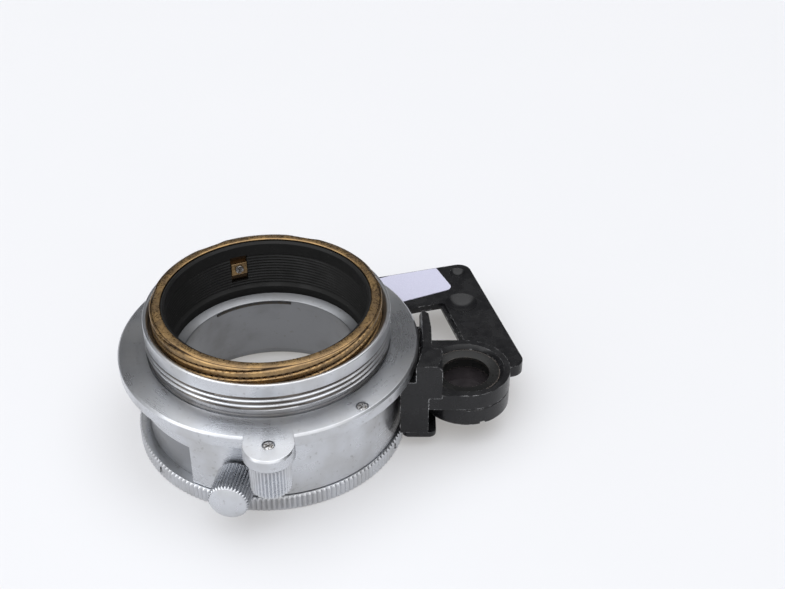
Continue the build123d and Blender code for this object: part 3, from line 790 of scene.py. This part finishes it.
def make_key():
    """Drive key and its slotted screw, seen through the baffle tube's slot."""
    key = block("key_block", (15.75, 16.6), (-1.35, 1.35), (2.3, 4.5), at(KEY_AZ, 0))
    round_edges(key, 0.08)
    dress(key, "cam_barrel", BRASS_PLAIN, "brass", "drive_key")
    place = at(KEY_AZ, 15.75, 3.4) @ Matrix.Rotation(math.radians(-90), 4, "Y") @ shifted(0, 0, 0.3)
    head = slotted_head("key_screw", 0.72, 0.4, place, 30)
    dress(head, "cam_barrel", STEEL, "screw_steel", "drive_key_screw")


# ---- bracket and optical unit -------------------------------------------------------------------
FRONT_Y = -7.4
BACK_Y = 7.35
STEM_RIGHT = 25.6
STEM_INNER_R = 22.3
POST_RIGHT = 27.7
POST_BACK = -2.7
POST_INNER_R = 24.65
POST_FACET = ((26.85, FRONT_Y, 0), (POST_RIGHT, FRONT_Y, -0.75), (POST_RIGHT, -4.6, 0))
ARM_LEFT, ARM_RIGHT, ARM_TIP = 24.25, 26.1, 25.75
ARM_CHAMFER = (0.4, 0.9)
MOUTH_CELL_R = 6.2
CELL_LIP_H = 0.65
TUBE_R = 6.5
TUBE_BORE_R = 5.6


def facet(a, b, c, corner):
    """Flat cut that takes the named corner off along the triangle a, b, c."""
    away = Vector(corner) - (Vector(a) + Vector(b) + Vector(c)) / 3
    far = [tuple(Vector(corner) + away * 2 + (Vector(point) - Vector(corner)) * 0.2) for point in (a, b, c)]
    points = [a, b, c, *far]
    faces = [(0, 1, 2), (5, 4, 3), (0, 3, 4, 1), (1, 4, 5, 2), (2, 5, 3, 0)]
    return make_object("facet", points, faces)


def make_bracket():
    """Black bracket: stem under the flange, post, straight arm and cell housing."""
    stem = block("bracket", (19, STEM_RIGHT), (FRONT_Y, BACK_Y), (-13.6, -3.2))
    housing = block("housing", (STEM_INNER_R + 0.4, CELL.x), (-CELL_R, CELL_R), (CELL_LOW, CELL_TOP))
    cell = drum("cell", CELL_R, CELL_LOW, CELL_TOP, shifted(CELL.x, 0), sides=192)
    post = block("post", (22, POST_RIGHT), (FRONT_Y, POST_BACK), (CELL_TOP - 0.5, 0))
    cut(post, drum("flange_space", POST_INNER_R, -3.2, 5, sides=360))
    cut(post, facet(*POST_FACET, (POST_RIGHT, FRONT_Y, 0)))
    arm_outline = [(ARM_LEFT, POST_BACK - 0.3), (ARM_RIGHT, POST_BACK - 0.3), (ARM_RIGHT, 3.0),
                   (ARM_TIP, BACK_Y - 0.7), (ARM_TIP - 0.6, BACK_Y), (ARM_LEFT, BACK_Y)]
    arm = prism("arm", arm_outline, CELL_LOW + 0.5, 0)
    width, height = ARM_CHAMFER
    slope = Matrix.Rotation(math.radians(90), 4, "X")
    chamfer = [(ARM_LEFT - 1, 1), (ARM_LEFT + width, 1), (ARM_LEFT + width, 0), (ARM_LEFT, -height),
               (ARM_LEFT - 1, -height)]
    cut(arm, prism("chamfer", chamfer, -20, 20, slope))
    unite(stem, housing, cell, post, arm)
    cut(stem, drum("sleeve_space", STEM_INNER_R, -20, 5, sides=240))
    lip_low = CELL_TOP - CELL_LIP_H
    mouth = [(0, lip_low - 0.2), (TUBE_BORE_R, lip_low - 0.2), (TUBE_BORE_R, lip_low),
             (MOUTH_CELL_R, CELL_TOP), (MOUTH_CELL_R, CELL_TOP + 1), (0, CELL_TOP + 1)]
    cut(stem, revolve("mouth", mouth, even_angles(192), shifted(CELL.x, 0)))
    cut(stem, drum("bore", TUBE_R, -15, lip_low, shifted(CELL.x, 0), sides=192))
    round_edges(stem, 0.14)
    return dress(stem, "mount", BLACK, "black_paint", "optics_bracket")


def make_foot():
    low, high = span("bracket_foot")
    foot = rounded_block("stem_foot", (low.x, high.x), (low.y, high.y), 1.2, (low.z, high.z - 0.01))
    cut(foot, drum("ring_space", STEM_INNER_R + 0.2, -20, 0, sides=240))
    round_edges(foot, 0.12)
    return dress(foot, "mount", BLACK, "black_paint", "bracket_foot")


def make_dish(x, y, radius, depth, top, turn):
    """Ball that sinks a shallow dish of that rim radius and depth."""
    ball_r = (radius ** 2 + depth ** 2) / (2 * depth)
    arc = [(ball_r * math.sin(t), -ball_r * math.cos(t)) for t in [math.radians(2 * i) for i in range(1, 46)]]
    return revolve("dish", [(0, -ball_r)] + arc + [(0, arc[-1][1])], even_angles(128),
                   turn @ shifted(x, y, top - depth + ball_r))


def make_plate():
    """Finder mask: turned plate with a window over a pocket, two dishes, and its hub."""
    turn = Matrix.Rotation(math.radians(PLATE_TURN), 4, "Z")
    top = PLATE_TOP
    low = top - PLATE_T
    hub_low = span("mask_plate")[0].z
    plate = rounded_block("finder_mask", PLATE_X, PLATE_Y, PLATE_CORNER_R, (low, top), turn)
    hub = [(0, hub_low), (HUB_R, hub_low), (HUB_R, top - 0.3), (HUB_R - 0.35, top - 0.02), (0, top - 0.02)]
    unite(plate, revolve("hub", hub, even_angles(192), shifted(CELL.x, 0)))
    left, right = WINDOW_X
    near, far = WINDOW_Y
    pocket_x = (left - POCKET_MARGIN, right + POCKET_MARGIN)
    pocket_y = (near, far + POCKET_MARGIN)
    pocket = rounded_block("pocket", pocket_x, pocket_y, 0.8, (low - 0.1, top - PLATE_SKIN_T), turn)
    cut(plate, rounded_block("window", WINDOW_X, WINDOW_Y, 0.3, (low - 1, top + 1), turn))
    ledge_z = (top - WINDOW_LEDGE_H, top + 1)
    cut(plate, rounded_block("ledge", (left, right + WINDOW_LEDGE), WINDOW_Y, 0.3, ledge_z, turn))
    cut(pocket, drum("hub_keep", HUB_R, low - 1, top, shifted(CELL.x, 0), sides=192))
    cut(plate, pocket)
    for x, y, radius, depth in DISHES:
        cut(plate, make_dish(x, y, radius, depth, top, turn))
    cut(plate, drum("tube_space", TUBE_R, -15, 0, shifted(CELL.x, 0), sides=192))
    cut(plate, block("stem_space", (0, STEM_RIGHT + 0.15), (-12, BACK_Y + 0.15), (-15, 0)))
    notch = shifted(CELL.x, 0) @ at(291, HUB_R, hub_low)
    cut(plate, block("notch", (-0.4, 0.6), (-0.45, 0.45), (-0.6, 0.35), notch))
    settle(plate)
    round_edges(plate, 0.14, segments=2, angle=25)
    return dress(plate, "mount", BLACK, "black_paint", "mask_plate")


def make_cell_optics():
    """Plain lining tube, tall retaining ring and a flat glass disc standing for the wedge, inside the cell.
    """
    low, high = span("cell_tube")
    shoulder = TUBE_BORE_R - 0.5
    tube = revolve("cell_lining", soften([
        (shoulder, low.z, 0.05), (TUBE_R - 0.03, low.z, 0.1), (TUBE_R - 0.03, high.z, 0.05),
        (TUBE_BORE_R, high.z, 0.05), (TUBE_BORE_R, PRISM_LOW, 0.02), (shoulder, PRISM_LOW, 0.02)], 0.05),
        even_angles(144), shifted(CELL.x, 0))
    dress(tube, "mount", BLACK_INNER, "black_anodised", "cell_tube")
    low, high = span("prism_ring")
    rim = TUBE_BORE_R - 0.04
    ring = revolve("cell_ring", soften([
        (4.25, low.z, 0.05), (rim, low.z, 0.02), (rim, high.z, 0.06), (3.85, high.z - 0.25, 0.08),
        (3.85, high.z - 0.65, 0.05), (4.25, high.z - 0.65, 0.02)], 0.02),
        even_angles(144), shifted(CELL.x, 0))
    dress(ring, "mount", BLACK_RING, "black_anodised", "prism_ring")
    low, high = span("wedge_prism")
    glass = drum("wedge_glass_disc", rim, low.z, high.z, shifted(CELL.x, 0), sides=144, edge=0.05)
    dress(glass, "mount", GLASS, "optical_glass", "wedge_prism")


def make_label():
    """Blank paper label, trimmed to the plate's far edge."""
    turn = Matrix.Rotation(math.radians(PLATE_TURN), 4, "Z")
    top = span("blank_label")[1].z
    label = rounded_block("paper_label", (-6.55, 6.55), (-4.15, 4.15), 1.2, (top - 0.1, top - 0.01),
                          turn @ shifted(29.75, 20.0) @ Matrix.Rotation(math.radians(8), 4, "Z"))
    limits = rounded_block("limits", (23.2, 41.5), (-7.2, 23.8), 2.2, (-12, 0), turn)
    combine(label, "INTERSECT", [limits])
    settle(label)
    return dress(label, "mount", PAPER, "label_paper", "blank_label")


def dress_hidden_nodes():
    """CAD nodes whose shape is right and that show little get only their material."""
    for node, material in (
            ("sleeve_snap_ring", STEEL), ("stop_pin", STEEL), ("knob_stud", STEEL), ("lens_spring", SPRING),
            ("foot_screws", STEEL_BLACK), ("bracket_screws", STEEL_BLACK)):
        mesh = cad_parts[node].data
        mesh.materials.clear()
        mesh.materials.append(material)


for make in (make_collar, make_flange, make_grip, make_flange_screws, make_sleeve, make_knob, make_seat,
             make_baffle, make_ring, make_set_screws, make_barrel, make_key, make_bracket, make_foot,
             make_plate, make_cell_optics, make_label, dress_hidden_nodes):
    make()


# ---- floor, light and camera --------------------------------------------------------------------
CEILING_LIGHT = 2.2
FLOOR_GLOW = 0.30       # painted glow: the floor's own emission lifts the shade below the part, standing in for a backlit table


def make_floor():
    half = 1500
    points = [(-half, -half, BASE_Z), (half, -half, BASE_Z), (half, half, BASE_Z), (-half, half, BASE_Z)]
    floor = make_object("floor", points, [(0, 1, 2, 3)])
    recipe = Recipe("pale_floor")
    cloud = recipe.noise(60.0, 2.0)
    base = recipe.mix(cloud, rgba(0.455, 0.47, 0.50), rgba(0.47, 0.48, 0.51))
    # painted glow: the floor emits a warm light of its own, FLOOR_GLOW strong, which lifts the shade around
    # and below the part
    floor.data.materials.append(recipe.finish(
        Base_Color=base, Roughness=0.6, Specular_IOR_Level=0.2, Emission_Color=rgba(1.0, 0.965, 0.92),
        Emission_Strength=FLOOR_GLOW))


def area_light(name, place, target, size, power, color=(1, 1, 1)):
    data = bpy.data.lights.new(name, "AREA")
    data.shape = "RECTANGLE"
    data.size, data.size_y = (s * MM for s in size)
    data.energy = power
    data.color = color
    lamp = bpy.data.objects.new(name, data)
    lamp.location = Vector(place) * MM
    lamp.rotation_mode = "QUATERNION"
    lamp.rotation_quaternion = (Vector(target) - Vector(place)).to_track_quat("-Z", "Y")
    bpy.context.scene.collection.objects.link(lamp)


def make_world():
    """Studio with a bright ceiling, a bright wall in front and a dark one behind."""
    world = bpy.data.worlds.new("studio")
    world.use_nodes = True
    tree = world.node_tree
    coordinate = tree.nodes.new("ShaderNodeTexCoord")
    parts = tree.nodes.new("ShaderNodeSeparateXYZ")
    tree.links.new(coordinate.outputs["Generated"], parts.inputs[0])

    def ramp(value, low, high, start, end):
        node = tree.nodes.new("ShaderNodeMapRange")
        node.interpolation_type = "SMOOTHSTEP"
        tree.links.new(value, node.inputs["Value"])
        for name, number in (("From Min", low), ("From Max", high), ("To Min", start), ("To Max", end)):
            node.inputs[name].default_value = number
        return node.outputs["Result"]

    lean = tree.nodes.new("ShaderNodeMath")
    lean.operation = "MULTIPLY_ADD"
    tree.links.new(parts.outputs["X"], lean.inputs[0])
    lean.inputs[1].default_value = 0.25
    tree.links.new(parts.outputs["Y"], lean.inputs[2])
    walls = ramp(lean.outputs[0], -0.55, 0.35, 1.05, 0.10)
    ceiling = ramp(parts.outputs["Z"], 0.66, 0.80, 0.0, 1.0)
    mix = tree.nodes.new("ShaderNodeMix")
    tree.links.new(ceiling, mix.inputs[0])
    tree.links.new(walls, mix.inputs[2])
    mix.inputs[3].default_value = CEILING_LIGHT
    tree.links.new(mix.outputs[0], tree.nodes["Background"].inputs["Strength"])
    tree.nodes["Background"].inputs["Color"].default_value = rgba(0.985, 0.99, 1.0)
    bpy.context.scene.world = world


def make_camera():
    data = bpy.data.cameras.new("camera")
    data.sensor_width = 36.0
    data.lens = 59.62
    data.clip_start = 0.01
    camera = bpy.data.objects.new("camera", data)
    camera.location = Vector((19.814, -165.444, 127.189)) * MM
    camera.rotation_euler = (math.radians(54.37), 0, 0)
    bpy.context.scene.collection.objects.link(camera)
    bpy.context.scene.camera = camera


make_floor()
make_world()
area_light("left_window", (-500, -250, 450), (0, 0, 0), (350, 350), 0.6, (0.98, 0.99, 1.0))
make_camera()
bpy.context.scene.view_settings.view_transform = "Standard"
